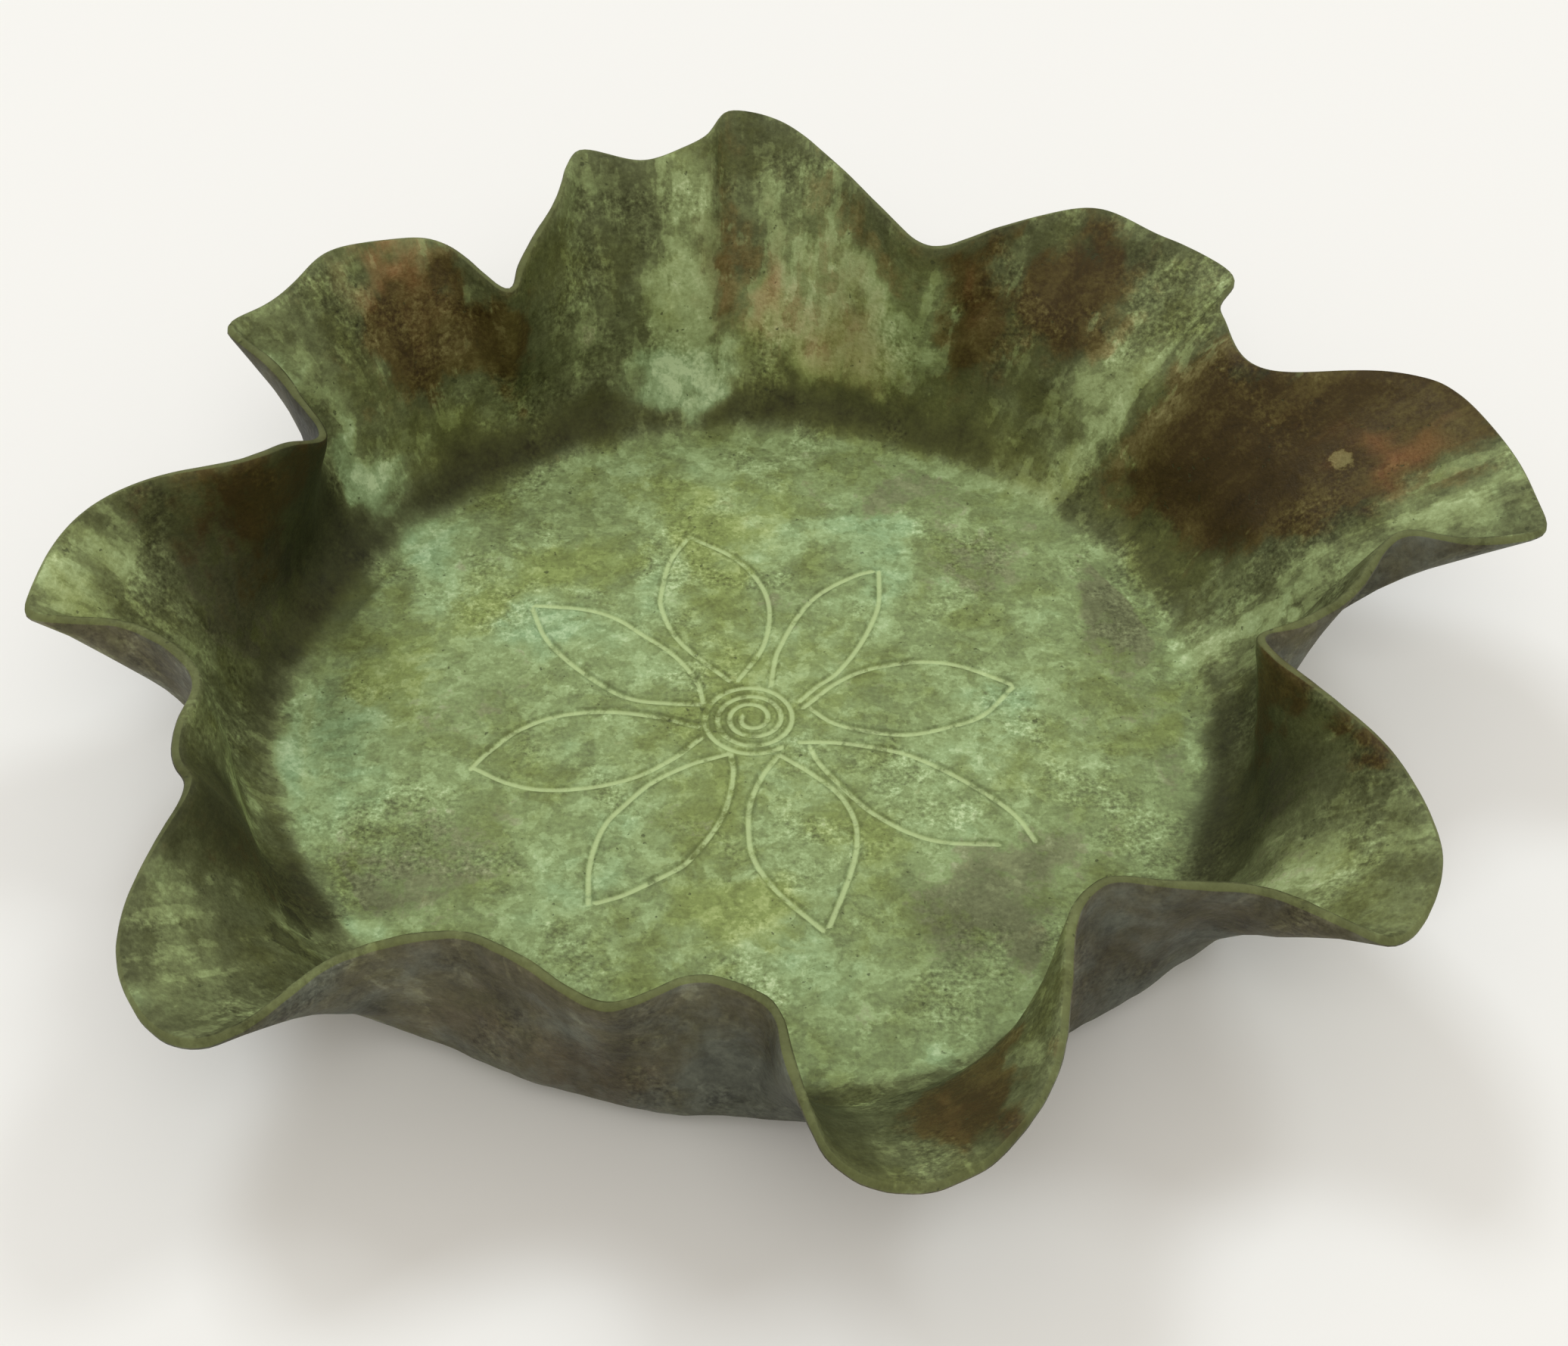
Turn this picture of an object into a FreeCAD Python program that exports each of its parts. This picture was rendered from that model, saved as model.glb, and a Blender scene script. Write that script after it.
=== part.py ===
import FreeCAD, Part

import math
import os

# A hand-formed copper bowl, raised from one round sheet. The floor is flat, the wall is fluted
# into nine uneven lobes, and an eight-petalled flower round a spiral is chased into the floor.
# Millimetres and degrees; +Z is up, and the origin is the middle of the floor's underside.

# Driving dimensions
sheet = 1.0              # thickness of the copper
floor_radius = 48.0      # middle of the bowl to where the wall rises
bend_radius = 3.0        # bend between floor and wall, measured along the floor
bend_corner = 0.3        # share of the bend that lies past its last flat control point
foot_swell = 4.0         # how far the wall swells past the floor radius just above the bend
edge_inset = 0.6         # rim of the inside face to the middle of the cut edge, measured level
rim_reach = 29.5         # the widest lobe's rim past the floor radius, to the middle of its edge
rim_height = 29.0        # the tallest lobe's rim above the floor's inside face
flare_power = 2.0        # 1 makes a straight flared wall, more keeps the flare for the rim
line_width = 0.8         # width of a chased line at the surface
line_depth = 0.25        # depth of a chased line
flower_radius = 29.0     # the longest petal's tip from the middle
spiral_radius = 5.1      # outside of the spiral, to the middle of its line
spiral_pitch = 1.2       # one turn of the spiral to the next
spiral_quarters = 13     # quarter turns in the spiral
spiral_start = 195.0     # angle where the spiral's inner end lies
petal_gap = 0.3          # clear floor between the spiral's outer line and a petal line's start

# The rim, once round. Each row is one meridian of the wall: the angle where it leaves the floor,
# the angle where it meets the rim, and its reach and height there in percent of rim_reach and
# rim_height. Each lobe's rows start at the fold before it.
LOBES = [
    # long pointed lobe on the left
    [(-196, -197, 1, 80), (-191.5, -192, 10, 83), (-187, -188, 31, 84), (-182.5, -184, 51, 83),
     (-176, -177, 64, 81), (-172.5, -173, 67, 80), (-170, -171, 65, 78), (-168, -170.5, 52, 76),
     (-165.5, -169.5, 36, 74)],
    # small double fold, then the blunt lobe at the lower left
    [(-161, -163, 18, 71), (-156, -157, 24, 70), (-152.5, -152, 30, 70), (-149.5, -149, 30, 70),
     (-145, -144, 46, 70), (-141.5, -140.5, 62, 70), (-136.5, -136, 77, 70), (-131, -130.5, 85, 70),
     (-127.5, -127, 81, 70), (-125, -125, 68, 71), (-122, -124, 48, 73)],
    # shallow wave, the smallest lobe
    [(-118.5, -121.5, 31, 75), (-115, -117, 19, 76), (-110.5, -112, 17, 76), (-105.5, -106, 20, 75),
     (-101, -100.5, 24, 73), (-97, -96, 15, 73)],
    # spout-shaped lobe at the front
    [(-93, -91, 12, 73), (-90.5, -86.5, 19, 71), (-88, -85.5, 34, 71), (-85, -84.5, 55, 71),
     (-82.5, -83, 70, 71), (-79, -79, 81, 71), (-76, -76, 80, 71), (-72, -72, 73, 73),
     (-67, -66.5, 54, 75)],
    # round lobe at the lower right
    [(-62.5, -62, 31, 75), (-58, -57, 13, 73), (-55, -53, 10, 75), (-50, -48, 23, 75),
     (-45.5, -43, 40, 75), (-42, -41.5, 59, 75), (-39, -40.5, 78, 75), (-36.5, -38, 81, 75),
     (-32.5, -33, 78, 75), (-29, -29.5, 71, 75), (-24, -24.5, 55, 75), (-17.5, -19, 32, 73)],
    # the widest lobe, on the right, with a square corner
    [(-14, -14.5, 13, 71), (-11.5, -10.5, 4, 70), (-8.5, -8, 13, 71), (-3.5, -2.5, 35, 75),
     (2.5, 3.5, 58, 80), (5, 2.5, 74, 80), (7, 2.5, 87, 82), (9, 3.5, 100, 82), (10.5, 5.5, 101, 83),
     (13, 8.5, 101, 84), (19, 15, 100, 84), (25.5, 22, 93, 82), (30, 26, 75, 78)],
    # hump that ends in a beak
    [(34.5, 30, 56, 73), (38, 34, 51, 72), (42, 39.5, 61, 73), (44, 41, 66, 76), (45.2, 41.3, 73, 79),
     (47.5, 44.5, 77, 81), (52, 50.5, 74, 83), (58.5, 57, 69, 86), (62, 60, 55, 86),
     (66.5, 64.5, 34, 84)],
    # the tallest lobe, at the back, with two corners and a dent between them
    [(71, 69, 18, 83), (77, 76.5, 29, 89), (85, 84.5, 55, 97), (91, 90.5, 73, 100),
     (93.5, 93.5, 74, 100), (96, 95, 62, 99), (99, 98, 54, 97), (103, 102.5, 47, 97),
     (107, 107, 54, 99), (108.5, 108.5, 57, 99), (110.5, 110, 52, 97), (114, 112.5, 37, 92)],
    # round-topped lobe with a sharp tip, behind on the left
    [(120, 120, 14, 81), (122.5, 123, 8, 78), (126, 126, 29, 86), (130.5, 130, 43, 91),
     (135, 134.5, 52, 91), (140, 139, 53, 91), (145.5, 146.5, 53, 86), (148, 149.5, 56, 84),
     (150, 150, 44, 81), (154.5, 152.5, 20, 75), (159, 156.5, 1, 71)],
]

# The wall's control points above the bend: each is a share of the way up to the rim.
WALL_STEPS = (0.14, 0.42, 0.72, 1.0)

# The flower's sixteen lines, two to a petal, each an arc from the spiral's edge to the petal's tip:
# the angle where it starts, then its middle and its tip as percent of flower_radius and angle.
PETAL_LINES = [
    (118, 66, 120.5, 100, 104.5), (103.5, 54, 83.5, 99, 103.5),
    (65, 54, 72.5, 84, 63.5), (23, 53, 44, 91, 59),
    (19, 58, 29.5, 95, 12), (11, 54.5, -7.5, 95, 11),
    (-31, 61, -17.5, 112, -30), (-38, 61, -46, 103, -34),
    (-55, 65, -55.5, 97, -72.5), (-63, 55, -89, 100, -75),
    (-105, 52.5, -100.5, 99, -119), (-113, 60, -134, 100, -120.5),
    (-147.5, 62.5, -146, 98, -164), (-166.5, 56.5, -181.5, 99, -165),
    (162, 55.5, 164, 97, 146.5), (153, 58.5, 134, 98, 145),
]


def around(radius, angle, height):
    """The point at this radius, angle and height."""
    turn = math.radians(angle)
    return FreeCAD.Vector(radius * math.cos(turn), radius * math.sin(turn), height)


def meridian(foot_angle, rim_angle, reach, height):
    """Control points of the wall's inside face, from the flat floor to the rim."""
    points = [around(floor_radius - bend_radius, foot_angle, sheet),
              around(floor_radius - bend_corner * bend_radius, foot_angle, sheet)]
    for step in WALL_STEPS:
        flare = (rim_reach * reach / 100.0 - edge_inset) * step ** flare_power
        radius = floor_radius + foot_swell * (1.0 - step) + flare
        angle = foot_angle + (rim_angle - foot_angle) * step
        points.append(around(radius, angle, sheet + rim_height * height / 100.0 * step))
    return points


def through(points, knots):
    """The closed cubic curve through the points, which it meets at the given knots."""
    curve = Part.BSplineCurve()
    curve.interpolate(Points=points, PeriodicFlag=True, Parameters=knots)
    return curve


def offset_rows(rows, curves, knots):
    """The rows moved outwards by the sheet's thickness, mitred where the wall bends."""
    moved = []
    for level, row in enumerate(rows):
        outer = []
        for i, point in enumerate(row):
            along = curves[level].tangent(knots[i])[0]
            normals = []
            for low, high in ((level - 1, level), (level, level + 1)):
                if low >= 0 and high < len(rows):
                    up = rows[high][i] - rows[low][i]
                    normals.append(along.cross(up).normalize())
            if level == 0:
                normals = [FreeCAD.Vector(0, 0, -1)]
            if len(normals) == 1:
                outer.append(point + normals[0] * sheet)
            else:
                mitre = normals[0] + normals[1]
                outer.append(point + mitre * (sheet / (1.0 + normals[0].dot(normals[1]))))
        moved.append(outer)
    return moved


def stretch(curves, start, end):
    """The same stretch of each curve."""
    cut = []
    for curve in curves:
        piece = curve.copy()
        piece.segment(start, end)
        cut.append(piece)
    return cut


def skin(curves, degree):
    """The face whose control curves these are, clamped at the first and the last."""
    poles = [list(column) for column in zip(*[curve.getPoles() for curve in curves])]
    spans = len(curves) - degree
    surface = Part.BSplineSurface()
    surface.buildFromPolesMultsKnots(
        poles, curves[0].getMultiplicities(), [degree + 1] + [1] * (spans - 1) + [degree + 1],
        curves[0].getKnots(), [i / spans for i in range(spans + 1)], False, False,
        curves[0].Degree, degree)
    return surface.toShape()


def bowl_sheet():
    """The bowl before chasing: floor and wall in one closed sheet, with one face a side to a lobe."""
    stations = [row for lobe in LOBES for row in lobe]
    knots = [row[0] for row in stations] + [stations[0][0] + 360.0]
    rows = [list(row) for row in zip(*[meridian(*station) for station in stations])]
    inside = [through(row, knots) for row in rows]
    outside = [through(row, knots) for row in offset_rows(rows, inside, knots)]
    folds = [lobe[0][0] for lobe in LOBES] + [LOBES[0][0][0] + 360.0]
    faces, floor_edges, foot_edges = [], [], []
    for start, end in zip(folds[:-1], folds[1:]):
        inner = stretch(inside, start, end)
        outer = stretch(outside, start, end)
        faces += [skin(inner, 3), skin(outer, 3), skin([inner[-1], outer[-1]], 1)]
        floor_edges.append(inner[0].toShape())
        foot_edges.append(outer[0].toShape())
    faces += [Part.Face(Part.Wire(floor_edges)), Part.Face(Part.Wire(foot_edges))]
    shell = Part.makeShell(faces)
    shell.sewShape()
    return Part.Solid(shell.Shells[0])


def line_tool(edges):
    """A round tool run along the edges, which lie at the tool's own height, with round ends."""
    path = Part.Wire(edges)
    start = edges[0].valueAt(edges[0].FirstParameter)
    end = edges[-1].valueAt(edges[-1].LastParameter)
    heading = edges[0].tangentAt(edges[0].FirstParameter)
    ring = Part.Wire(Part.makeCircle(tool_radius, start, heading))
    tube = path.makePipeShell([ring], True, False)
    return [tube, Part.makeSphere(tool_radius, start), Part.makeSphere(tool_radius, end)]


def petal_edges(start_angle, middle_reach, middle_angle, tip_reach, tip_angle):
    """One side of a petal: the arc through its start, middle and tip."""
    points = [around(spiral_radius + line_width + petal_gap, start_angle, tool_height),
              around(flower_radius * middle_reach / 100.0, middle_angle, tool_height),
              around(flower_radius * tip_reach / 100.0, tip_angle, tool_height)]
    return [Part.Arc(*points).toShape()]


def spiral_edges():
    """Quarter arcs that run into each other, each a quarter of the pitch wider than the last."""
    growth = spiral_pitch / 4.0
    radius = spiral_radius - growth * (spiral_quarters - 1)
    centre = around(0.0, 0.0, tool_height)
    angle = spiral_start
    edges = []
    for _ in range(spiral_quarters):
        points = [centre + around(radius, angle + turn, 0.0) for turn in (0.0, 45.0, 90.0)]
        edges.append(Part.Arc(*points).toShape())
        angle += 90.0
        centre = centre - around(growth, angle, 0.0)
        radius += growth
    return edges


# A chased line is the mark of a round tool whose middle stands this high over the sheet.
tool_radius = (line_width ** 2 / 4.0 + line_depth ** 2) / (2.0 * line_depth)
tool_height = sheet + tool_radius - line_depth

os.makedirs("parts", exist_ok=True)

tools = line_tool(spiral_edges())
for line in PETAL_LINES:
    tools += line_tool(petal_edges(*line))
bowl = bowl_sheet()
for tool in tools:
    bowl = bowl.cut(tool)
bowl.exportStep("parts/bowl.step")

print("bowl: valid", bowl.isValid(), "solids", len(bowl.Solids), "faces", len(bowl.Faces),
      "volume", round(bowl.Volume), "box", bowl.BoundBox)
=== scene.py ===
import math

import bpy
import numpy as np
from mathutils import Matrix, Vector
from mathutils.geometry import delaunay_2d_cdt


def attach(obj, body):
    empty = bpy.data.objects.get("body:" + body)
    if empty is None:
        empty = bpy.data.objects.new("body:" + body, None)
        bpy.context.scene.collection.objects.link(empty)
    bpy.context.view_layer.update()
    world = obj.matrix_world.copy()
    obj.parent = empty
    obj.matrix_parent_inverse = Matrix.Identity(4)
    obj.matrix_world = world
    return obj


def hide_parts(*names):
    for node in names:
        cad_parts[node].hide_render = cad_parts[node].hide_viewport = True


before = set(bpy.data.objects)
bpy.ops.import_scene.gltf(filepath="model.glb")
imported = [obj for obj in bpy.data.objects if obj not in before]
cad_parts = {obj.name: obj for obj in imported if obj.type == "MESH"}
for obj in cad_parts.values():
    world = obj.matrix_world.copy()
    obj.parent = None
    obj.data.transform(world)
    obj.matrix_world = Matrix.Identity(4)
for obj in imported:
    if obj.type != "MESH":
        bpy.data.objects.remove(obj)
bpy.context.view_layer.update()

# ---------------------------------------------------------------------------------------------
# The bowl's sheet. One round of 1 mm copper: a flat floor, and a wall fluted with a raising
# hammer into nine uneven lobes. Floor and wall are one metal, and the rim is its cut edge.
# All lengths up to the finished mesh are in millimetres, and angles in degrees.

MM = 0.001
SHEET = 1.0
FLOOR_RADIUS = 48.0
BEND_RADIUS = 3.0
RIM_REACH = 29.5
RIM_HEIGHT = 29.0
FOOT_SWELL = 4.0
EDGE_INSET = 0.6
FLARE_POWER = 2.0
BEND_SHARES = (1.0, 0.3)     # the bend's two flat control points, as shares of its radius inward
WALL_STEPS = (0.14, 0.42, 0.72, 1.0)  # the wall's control points, as shares of the way up

# Each row is one meridian: its angle at the foot, its angle at the rim, and its reach and
# height there in percent. Each lobe's rows start at the fold before it.
LOBES = [
    # long pointed lobe on the left
    [(-196, -197, 1, 80), (-191.5, -192, 10, 83), (-187, -188, 31, 84), (-182.5, -184, 51, 83),
     (-176, -177, 64, 81), (-172.5, -173, 67, 80), (-170, -171, 65, 78), (-168, -170.5, 52, 76),
     (-165.5, -169.5, 36, 74)],
    # small double fold, then the blunt lobe at the lower left
    [(-161, -163, 18, 71), (-156, -157, 24, 70), (-152.5, -152, 30, 70), (-149.5, -149, 30, 70),
     (-145, -144, 46, 70), (-141.5, -140.5, 62, 70), (-136.5, -136, 77, 70), (-131, -130.5, 85, 70),
     (-127.5, -127, 81, 70), (-125, -125, 68, 71), (-122, -124, 48, 73)],
    # shallow wave, the smallest lobe
    [(-118.5, -121.5, 31, 75), (-115, -117, 19, 76), (-110.5, -112, 17, 76), (-105.5, -106, 20, 75),
     (-101, -100.5, 24, 73), (-97, -96, 15, 73)],
    # spout-shaped lobe at the front
    [(-93, -91, 12, 73), (-90.5, -86.5, 19, 71), (-88, -85.5, 34, 71), (-85, -84.5, 55, 71),
     (-82.5, -83, 70, 71), (-79, -79, 81, 71), (-76, -76, 80, 71), (-72, -72, 73, 73),
     (-67, -66.5, 54, 75)],
    # round lobe at the lower right
    [(-62.5, -62, 31, 75), (-58, -57, 13, 73), (-55, -53, 10, 75), (-50, -48, 23, 75),
     (-45.5, -43, 40, 75), (-42, -41.5, 59, 75), (-39, -40.5, 78, 75), (-36.5, -38, 81, 75),
     (-32.5, -33, 78, 75), (-29, -29.5, 71, 75), (-24, -24.5, 55, 75), (-17.5, -19, 32, 73)],
    # the widest lobe, on the right, with a square corner
    [(-14, -14.5, 13, 71), (-11.5, -10.5, 4, 70), (-8.5, -8, 13, 71), (-3.5, -2.5, 35, 75),
     (2.5, 3.5, 58, 80), (5, 2.5, 74, 80), (7, 2.5, 87, 82), (9, 3.5, 100, 82),
     (10.5, 5.5, 101, 83), (13, 8.5, 101, 84), (19, 15, 100, 84), (25.5, 22, 93, 82),
     (30, 26, 75, 78)],
    # hump that ends in a beak
    [(34.5, 30, 56, 73), (38, 34, 51, 72), (42, 39.5, 61, 73), (44, 41, 66, 76),
     (45.2, 41.3, 73, 79), (47.5, 44.5, 77, 81), (52, 50.5, 74, 83), (58.5, 57, 69, 86),
     (62, 60, 55, 86), (66.5, 64.5, 34, 84)],
    # the tallest lobe, at the back, with two corners and a dent between them
    [(71, 69, 18, 83), (77, 76.5, 29, 89), (85, 84.5, 55, 97), (91, 90.5, 73, 100),
     (93.5, 93.5, 74, 100), (96, 95, 62, 99), (99, 98, 54, 97), (103, 102.5, 47, 97),
     (107, 107, 54, 99), (108.5, 108.5, 57, 99), (110.5, 110, 52, 97), (114, 112.5, 37, 92)],
    # round-topped lobe with a sharp tip, behind on the left
    [(120, 120, 14, 81), (122.5, 123, 8, 78), (126, 126, 29, 86), (130.5, 130, 43, 91),
     (135, 134.5, 52, 91), (140, 139, 53, 91), (145.5, 146.5, 53, 86), (148, 149.5, 56, 84),
     (150, 150, 44, 81), (154.5, 152.5, 20, 75), (159, 156.5, 1, 71)],
]

AROUND = 860         # columns round the wall
INNER_ROWS = 46      # rows of faces up the inside
OUTER_ROWS = 22      # rows of faces up the outside
RIM_ROWS = 4         # rows of faces over the cut edge
RIM_CROWN = 0.22     # how far the cut edge is rounded up
CORNER_SHARE = 0.55  # share of the columns that is spent by length of rim, and the rest by angle
DENTS = ((0.16, 15.0, 3), (0.06, 6.0, 4), (0.025, 2.6, 5))  # depth, size and seed
DENTS_START = 0.25   # share of the way up by which the dents have their full depth
WAVES = 16           # plane waves in a patch of unevenness
RIM_SAMPLES = 7201   # places at which the rim's length is measured


def lengths(vectors):
    """Length of each vector, kept as a last axis of one."""
    return np.linalg.norm(vectors, axis=-1, keepdims=True)


def meridian_points(rows):
    """Six control points of each meridian: two on the flat floor, then one for each step up the
    wall, which swells at the foot, reaches out with a power of the step and rises evenly."""
    foot, rim, reach, height = rows.T
    flat = [(FLOOR_RADIUS - share * BEND_RADIUS, SHEET, foot) for share in BEND_SHARES]
    rising = [(FLOOR_RADIUS + FOOT_SWELL * (1 - step)
               + (RIM_REACH * reach / 100 - EDGE_INSET) * step ** FLARE_POWER,
               SHEET + RIM_HEIGHT * height / 100 * step, foot + (rim - foot) * step)
              for step in WALL_STEPS]
    return np.array([np.stack([radius * np.cos(np.radians(angle)),
                               radius * np.sin(np.radians(angle)),
                               np.broadcast_to(z, foot.shape)], 1)
                     for radius, z, angle in flat + rising])


def ring_slopes(points, knots):
    """Slopes that make the closed cubic through the points bend smoothly: at each point the two
    neighbouring chords' slopes, weighed by each other's span, equal a weighed sum of three
    slopes."""
    gap = np.diff(np.append(knots, knots[0] + 360))[:, None]
    before = np.roll(gap, 1, 0)
    rise = np.roll(points, -1, 0) - points
    right = 3 * (gap * np.roll(rise, 1, 0) / before + before * rise / gap)
    unit = np.eye(len(knots))
    left = (2 * (gap + before) * unit + gap * np.roll(unit, -1, 1) + before * np.roll(unit, 1, 1))
    return np.linalg.solve(left, right)


def ring_curve(points, knots, at):
    """The closed curve at the given angles: between two points it is the cubic that has their
    places and their slopes."""
    slopes = ring_slopes(points, knots)
    at = (at - knots[0]) % 360 + knots[0]
    edges = np.append(knots, knots[0] + 360)
    here = np.clip(np.searchsorted(edges, at, side="right") - 1, 0, len(knots) - 1)
    after = (here + 1) % len(knots)
    gap = (edges[here + 1] - edges[here])[:, None]
    t = (at[:, None] - edges[here][:, None]) / gap
    return ((2 * t ** 3 - 3 * t ** 2 + 1) * points[here]
            + (t ** 3 - 2 * t ** 2 + t) * gap * slopes[here]
            + (3 * t ** 2 - 2 * t ** 3) * points[after]
            + (t ** 3 - t ** 2) * gap * slopes[after])


def rise_weights(rise):
    """Weight of each of the six control points at each rise from 0 to 1: the clamped cubic
    B-spline's, built up from steps by the usual recursion."""
    knots = np.array([0, 0, 0, 0, 1 / 3, 2 / 3, 1, 1, 1, 1])
    rise = np.minimum(rise, 1 - 1e-9)
    weights = [((low <= rise) & (rise < high)).astype(float) for low, high in zip(knots, knots[1:])]
    for degree in (1, 2, 3):
        raised = []
        for i in range(len(weights) - 1):
            first, second = knots[i + degree] - knots[i], knots[i + degree + 1] - knots[i + 1]
            value = np.zeros_like(rise)
            if first > 0:
                value = value + (rise - knots[i]) / first * weights[i]
            if second > 0:
                value = value + (knots[i + degree + 1] - rise) / second * weights[i + 1]
            raised.append(value)
        weights = raised
    return np.array(weights)


def outer_points(rows, knots):
    """The control points moved out by the sheet's thickness, mitred where the wall bends. The
    first row moves straight down."""
    along = np.array([ring_slopes(row, knots) for row in rows])
    face = np.cross(along[:-1], rows[1:] - rows[:-1])
    face /= lengths(face)
    below = np.concatenate([face[:1], face])
    above = np.concatenate([face, face[-1:]])
    mitre = (below + above) / (1 + (below * above).sum(-1, keepdims=True))
    mitre[0] = (0, 0, -1)
    return rows + mitre * SHEET


def ripple(points, size, seed):
    """Smooth unevenness from about -1 to 1: the sum of plane waves of about that size, over the
    square root of their number. Their directions and phases are drawn from the seed."""
    draw = np.random.default_rng(seed)
    ways = draw.normal(size=(WAVES, 3))
    ways *= 2 * math.pi / size * draw.uniform(0.7, 1.4, (WAVES, 1)) / lengths(ways)
    phases = draw.uniform(0, 2 * math.pi, WAVES)
    return np.sin(points @ ways.T + phases).sum(-1) / math.sqrt(WAVES)


def smooth(value, low, high):
    """0 below low, 1 above high, and an S-shaped ramp between."""
    t = np.clip((value - low) / (high - low), 0, 1)
    return t * t * (3 - 2 * t)


stations = np.array([row for lobe in LOBES for row in lobe], float)
foot_angles = stations[:, 0]
inner_control = meridian_points(stations)
outer_control = outer_points(inner_control, foot_angles)

# Columns lie closer together where the rim turns its corners.
fine = foot_angles[0] + np.linspace(0, 360, RIM_SAMPLES)
fine_rim = ring_curve(inner_control[-1], foot_angles, fine)
walked = np.append(0, np.cumsum(lengths(np.diff(fine_rim, axis=0))))
spent = CORNER_SHARE * walked / walked[-1] + (1 - CORNER_SHARE) * np.linspace(0, 1, len(fine))
columns = np.interp(np.arange(AROUND) / AROUND, spent, fine)


def wall_grid(control, rises):
    """The wall at every column and rise: closed curves round it, weighed up the rise."""
    rings = np.array([ring_curve(row, foot_angles, columns) for row in control])
    return np.einsum("kr,kcx->rcx", rise_weights(rises), rings)


def hammered(grid, rises):
    """The grid with a raised wall's unevenness: broad dents of the hammer and finer planishing
    marks, both fading out over the bend, as a shift across the sheet."""
    across = np.cross(np.roll(grid, -1, 1) - np.roll(grid, 1, 1), np.gradient(grid, axis=0))
    across /= lengths(across)
    dents = sum(depth * ripple(grid, size, seed) for depth, size, seed in DENTS)
    return grid + across * (dents * smooth(rises, 0.0, DENTS_START)[:, None])[..., None]


inner_rises = np.linspace(0, 1, INNER_ROWS + 1)
outer_rises = np.linspace(0, 1, OUTER_ROWS + 1)
inner_wall = hammered(wall_grid(inner_control, inner_rises), inner_rises)
outer_wall = hammered(wall_grid(outer_control, outer_rises), outer_rises)

# The cut edge: across the sheet from inside to outside, crowned along the wall's own rise.
across = np.linspace(0, 1, RIM_ROWS + 1)[1:-1, None, None]
rim_up = inner_wall[-1] - inner_wall[-2]
rim_up /= lengths(rim_up)
rim_rows = (inner_wall[-1] * (1 - across) + outer_wall[-1] * across
            + rim_up * RIM_CROWN * 4 * across * (1 - across))

# ---------------------------------------------------------------------------------------------
# The flower. Sixteen strokes, two to each of eight petals, and a spiral in the middle, all
# chased into the floor with a blunt round-nosed liner that pushes up a low lip on both sides.

STROKES = [
    [(-2.3, 5.5), (-7.5, 11), (-9.7, 16), (-9.9, 19), (-9.2, 24), (-7.3, 28.3)],
    [(-1.3, 5.5), (1, 10), (1.8, 14), (1.6, 18), (0.2, 21.6), (-2.4, 25), (-7.2, 28.2)],
    [(2.2, 4.8), (2.4, 7.5), (2.9, 10.3), (4.7, 15), (7, 18.8), (10.8, 22), (13, 23)],
    [(5.2, 2.6), (7, 4.8), (9, 6.8), (11.3, 10.8), (12.8, 14.6), (13.6, 18), (13.7, 23)],
    [(5.6, 1.6), (8.5, 4.9), (11.3, 7), (14.6, 8.2), (18.8, 8.8), (22.6, 8), (27.2, 5.7)],
    [(6.3, 1.4), (8.5, -0.5), (11.7, -1.6), (16, -2.1), (20.2, -0.9), (24, 1), (27.4, 5.3)],
    [(5.2, -3.4), (8.5, -3.4), (11.7, -3.8), (16, -4.9), (20.2, -7.3), (24.4, -10.6), (26.8, -13.2),
     (28.3, -16.2)],
    [(6.3, -4.2), (7.2, -6.3), (9.4, -9.4), (12.2, -12.7), (16, -15.5), (19.7, -16.7),
     (24.7, -16.8)],
    [(3.4, -5.4), (6.1, -7.5), (9, -10.3), (10.6, -13.6), (10.9, -17), (10.2, -21.1), (8.2, -27.6)],
    [(2.9, -5.6), (1.4, -8.5), (0.4, -12), (0.3, -15.5), (0.9, -19.3), (3.3, -23.5), (7.6, -28.1)],
    [(-1.7, -5.4), (-1.4, -8), (-1.8, -11.7), (-2.8, -15), (-5.2, -19.3), (-7, -21.1), (-11.3, -24),
     (-14, -25.2)],
    [(-2.1, -5.2), (-6.1, -7), (-9.4, -9.4), (-11.8, -12.2), (-13.9, -15.5), (-14.9, -20.2),
     (-14.7, -25.3)],
    [(-4.9, -3.1), (-7.5, -6), (-10.8, -8.5), (-15, -10.1), (-19.7, -10.6), (-23.5, -9.9),
     (-27.6, -7.7)],
    [(-5.2, -1.4), (-9.4, -0.1), (-14.6, 0.5), (-19.7, -0.2), (-23.5, -2.4), (-26.2, -5.5),
     (-27.7, -7.9)],
    [(-4.9, 1.9), (-8.5, 1.9), (-12.7, 2.6), (-16.4, 5.2), (-19.7, 8.5), (-22, 11.7),
     (-23.6, 15.9)],
    [(-4.8, 2.3), (-5.6, 5.2), (-8, 8.9), (-11.7, 12.2), (-14.6, 14.6), (-18, 16), (-23.4, 16.5)],
]
SPIRAL_CENTRE = (0.3, -0.05)
SPIRAL_START = (163.0, 1.0)   # angle and radius of the inner end
SPIRAL_PITCH = 1.24
SPIRAL_TURNS = 3.4
SPIRAL_WAVER = 0.05           # how far the hand strays from an even spiral
LINE_STEP = 0.33              # distance between points along a line
LINE_OFFSETS = (-0.95, -0.66, -0.46, -0.3, -0.15, 0.0, 0.15, 0.3, 0.46, 0.66, 0.95)
LINE_HALF = 0.42              # half a chased line's width
LINE_DEPTH = 0.24
LIP_HEIGHT = 0.07
LIP_MIDDLE = 0.14             # from the groove's edge out to the top of its lip
LIP_SPREAD = 0.16             # half the lip's width
LINE_REACH = 1.2              # past this distance a line leaves the floor alone
ROW_SLACK = 0.04              # how much nearer to another line a row beside one may come
FIELD_GAP = 0.3               # from the outermost row to the plain floor's points
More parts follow.
